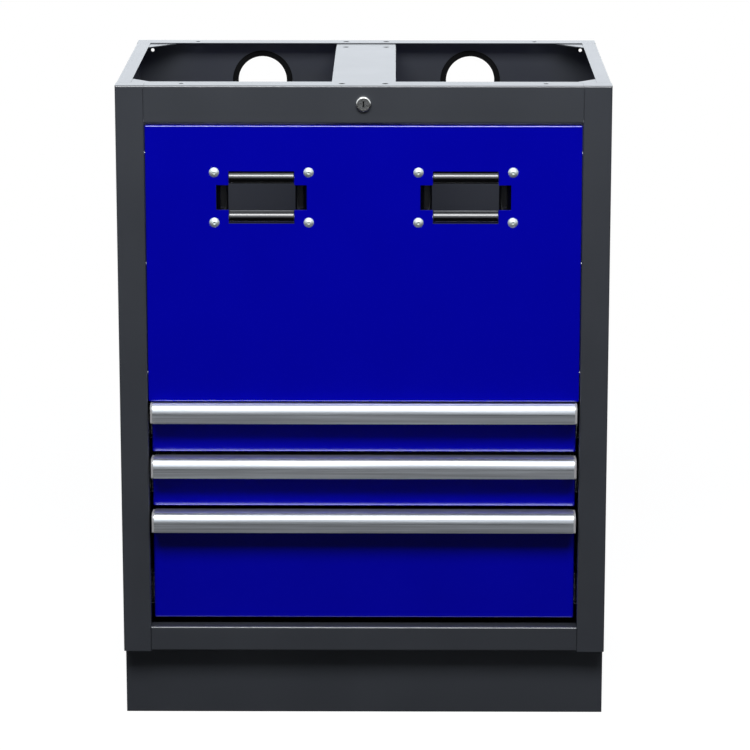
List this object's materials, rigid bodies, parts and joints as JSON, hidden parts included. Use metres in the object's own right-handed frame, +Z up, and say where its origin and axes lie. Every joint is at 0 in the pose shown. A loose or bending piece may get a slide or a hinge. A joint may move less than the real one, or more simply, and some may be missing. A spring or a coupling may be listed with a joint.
{
  "type": "air hose reel cabinet",
  "caption": "Open-topped steel workshop cabinet for air hose reels, with roller hose guides in a fixed front panel above lockable drawers on a recessed plinth.",
  "frame": {"origin": "middle of the whole cabinet's footprint, on the floor", "axes": "+X to the cabinet's right as seen from the front, +Y from front to back, +Z up"},
  "size_m": [0.68, 0.4736, 0.91],
  "materials": {
    "anthracite_paint": "satin powder coat, anthracite",
    "blue_paint": "gloss powder coat, blue",
    "black_plastic": "polished black nylon",
    "black_paint": "satin black",
    "anodised_aluminium": "fine brushed, clear anodised",
    "chrome": "bright",
    "zinc_plated_steel": "zinc plated",
    "bright_steel": "bright zinc",
    "satin_nickel": "satin nickel plate",
    "blackened_steel": "black oxide",
    "black_rubber": "matt",
    "light_grey_plastic": "light grey"
  },
  "bodies": {
    "cabinet": {"side_panel_left": "anthracite_paint", "side_panel_right": "anthracite_paint", "rear_panel": "anthracite_paint", "top_front_rail": "anthracite_paint", "bottom_front_rail": "anthracite_paint", "base_panel": "anthracite_paint", "corner_gussets": "anthracite_paint", "bridge_plate": "anthracite_paint", "bridge_screws": "blackened_steel", "plinth_rails": "anthracite_paint", "plinth_sides": "anthracite_paint", "plinth_bolts": "zinc_plated_steel", "reel_shelf": "anthracite_paint", "reel_front_panel": "blue_paint", "panel_screws": "zinc_plated_steel", "left_guide_frame": "black_paint", "right_guide_frame": "black_paint", "guide_screws": "chrome", "guide_axles": "zinc_plated_steel", "rear_grommets": "black_rubber", "lock_body": "satin_nickel", "lock_nut": "zinc_plated_steel", "lock_rod_bracket": "zinc_plated_steel", "lock_bar_guides": "zinc_plated_steel", "slide_uprights": "anthracite_paint", "slide_studs": "zinc_plated_steel", "slide_outer_members": "bright_steel"},
    "drawer_1": {"drawer_1_front": "blue_paint", "drawer_1_tray": "anthracite_paint", "drawer_1_handle": "anodised_aluminium", "drawer_1_end_caps": "light_grey_plastic", "drawer_1_screws": "zinc_plated_steel", "slide_1_inner": "bright_steel"},
    "slide_1_middle": {"slide_1_middle": "bright_steel"},
    "drawer_2": {"drawer_2_front": "blue_paint", "drawer_2_tray": "anthracite_paint", "drawer_2_handle": "anodised_aluminium", "drawer_2_end_caps": "light_grey_plastic", "drawer_2_screws": "zinc_plated_steel", "slide_2_inner": "bright_steel"},
    "slide_2_middle": {"slide_2_middle": "bright_steel"},
    "drawer_3": {"drawer_3_front": "blue_paint", "drawer_3_tray": "anthracite_paint", "drawer_3_handle": "anodised_aluminium", "drawer_3_end_caps": "light_grey_plastic", "drawer_3_screws": "zinc_plated_steel", "slide_3_inner": "bright_steel"},
    "slide_3_middle": {"slide_3_middle": "bright_steel"},
    "lock_cylinder": {"lock_plug": "satin_nickel", "lock_rod": "zinc_plated_steel", "lock_crank": "zinc_plated_steel"},
    "lock_bar": {"lock_bar": "zinc_plated_steel"},
    "left_guide_top_roller": {"left_guide_top_roller": "black_plastic"},
    "left_guide_bottom_roller": {"left_guide_bottom_roller": "black_plastic"},
    "left_guide_left_roller": {"left_guide_left_roller": "black_plastic"},
    "left_guide_right_roller": {"left_guide_right_roller": "black_plastic"},
    "right_guide_top_roller": {"right_guide_top_roller": "black_plastic"},
    "right_guide_bottom_roller": {"right_guide_bottom_roller": "black_plastic"},
    "right_guide_left_roller": {"right_guide_left_roller": "black_plastic"},
    "right_guide_right_roller": {"right_guide_right_roller": "black_plastic"}
  },
  "joints": [
    {"name": "drawer_1_slide", "type": "slide", "parent": "cabinet", "child": "drawer_1", "axis": [0, -1, 0], "range_m": [0, 0.38]},
    {"name": "slide_1_middle_slide", "type": "slide", "parent": "cabinet", "child": "slide_1_middle", "axis": [0, -1, 0], "range_m": [0, 0.19]},
    {"name": "drawer_2_slide", "type": "slide", "parent": "cabinet", "child": "drawer_2", "axis": [0, -1, 0], "range_m": [0, 0.38]},
    {"name": "slide_2_middle_slide", "type": "slide", "parent": "cabinet", "child": "slide_2_middle", "axis": [0, -1, 0], "range_m": [0, 0.19]},
    {"name": "drawer_3_slide", "type": "slide", "parent": "cabinet", "child": "drawer_3", "axis": [0, -1, 0], "range_m": [0, 0.38]},
    {"name": "slide_3_middle_slide", "type": "slide", "parent": "cabinet", "child": "slide_3_middle", "axis": [0, -1, 0], "range_m": [0, 0.19]},
    {"name": "lock_turn", "type": "hinge", "parent": "cabinet", "child": "lock_cylinder", "pos_m": [0, -0.22375, 0.885], "axis": [0, 1, 0], "range_deg": [0, 90]},
    {"name": "lock_bar_lift", "type": "slide", "parent": "cabinet", "child": "lock_bar", "axis": [0, 0, 1], "range_m": [0, 0.01414]},
    {"name": "left_guide_top_roller_spin", "type": "hinge", "parent": "cabinet", "child": "left_guide_top_roller", "pos_m": [-0.1405, -0.21675, 0.782], "axis": [1, 0, 0], "continuous": true},
    {"name": "left_guide_bottom_roller_spin", "type": "hinge", "parent": "cabinet", "child": "left_guide_bottom_roller", "pos_m": [-0.1405, -0.21675, 0.7272], "axis": [1, 0, 0], "continuous": true},
    {"name": "left_guide_left_roller_spin", "type": "hinge", "parent": "cabinet", "child": "left_guide_left_roller", "pos_m": [-0.1952, -0.20275, 0.7546], "axis": [0, 0, 1], "continuous": true},
    {"name": "left_guide_right_roller_spin", "type": "hinge", "parent": "cabinet", "child": "left_guide_right_roller", "pos_m": [-0.0858, -0.20275, 0.7546], "axis": [0, 0, 1], "continuous": true},
    {"name": "right_guide_top_roller_spin", "type": "hinge", "parent": "cabinet", "child": "right_guide_top_roller", "pos_m": [0.1405, -0.21675, 0.782], "axis": [1, 0, 0], "continuous": true},
    {"name": "right_guide_bottom_roller_spin", "type": "hinge", "parent": "cabinet", "child": "right_guide_bottom_roller", "pos_m": [0.1405, -0.21675, 0.7272], "axis": [1, 0, 0], "continuous": true},
    {"name": "right_guide_left_roller_spin", "type": "hinge", "parent": "cabinet", "child": "right_guide_left_roller", "pos_m": [0.0858, -0.20275, 0.7546], "axis": [0, 0, 1], "continuous": true},
    {"name": "right_guide_right_roller_spin", "type": "hinge", "parent": "cabinet", "child": "right_guide_right_roller", "pos_m": [0.1952, -0.20275, 0.7546], "axis": [0, 0, 1], "continuous": true}
  ],
  "couplings": [
    {"joint": "slide_1_middle_slide", "follows": "drawer_1_slide", "ratio": 0.5},
    {"joint": "slide_2_middle_slide", "follows": "drawer_2_slide", "ratio": 0.5},
    {"joint": "slide_3_middle_slide", "follows": "drawer_3_slide", "ratio": 0.5},
    {"joint": "lock_turn", "follows": "lock_bar_lift", "rad_per_m": 111.07}
  ]
}
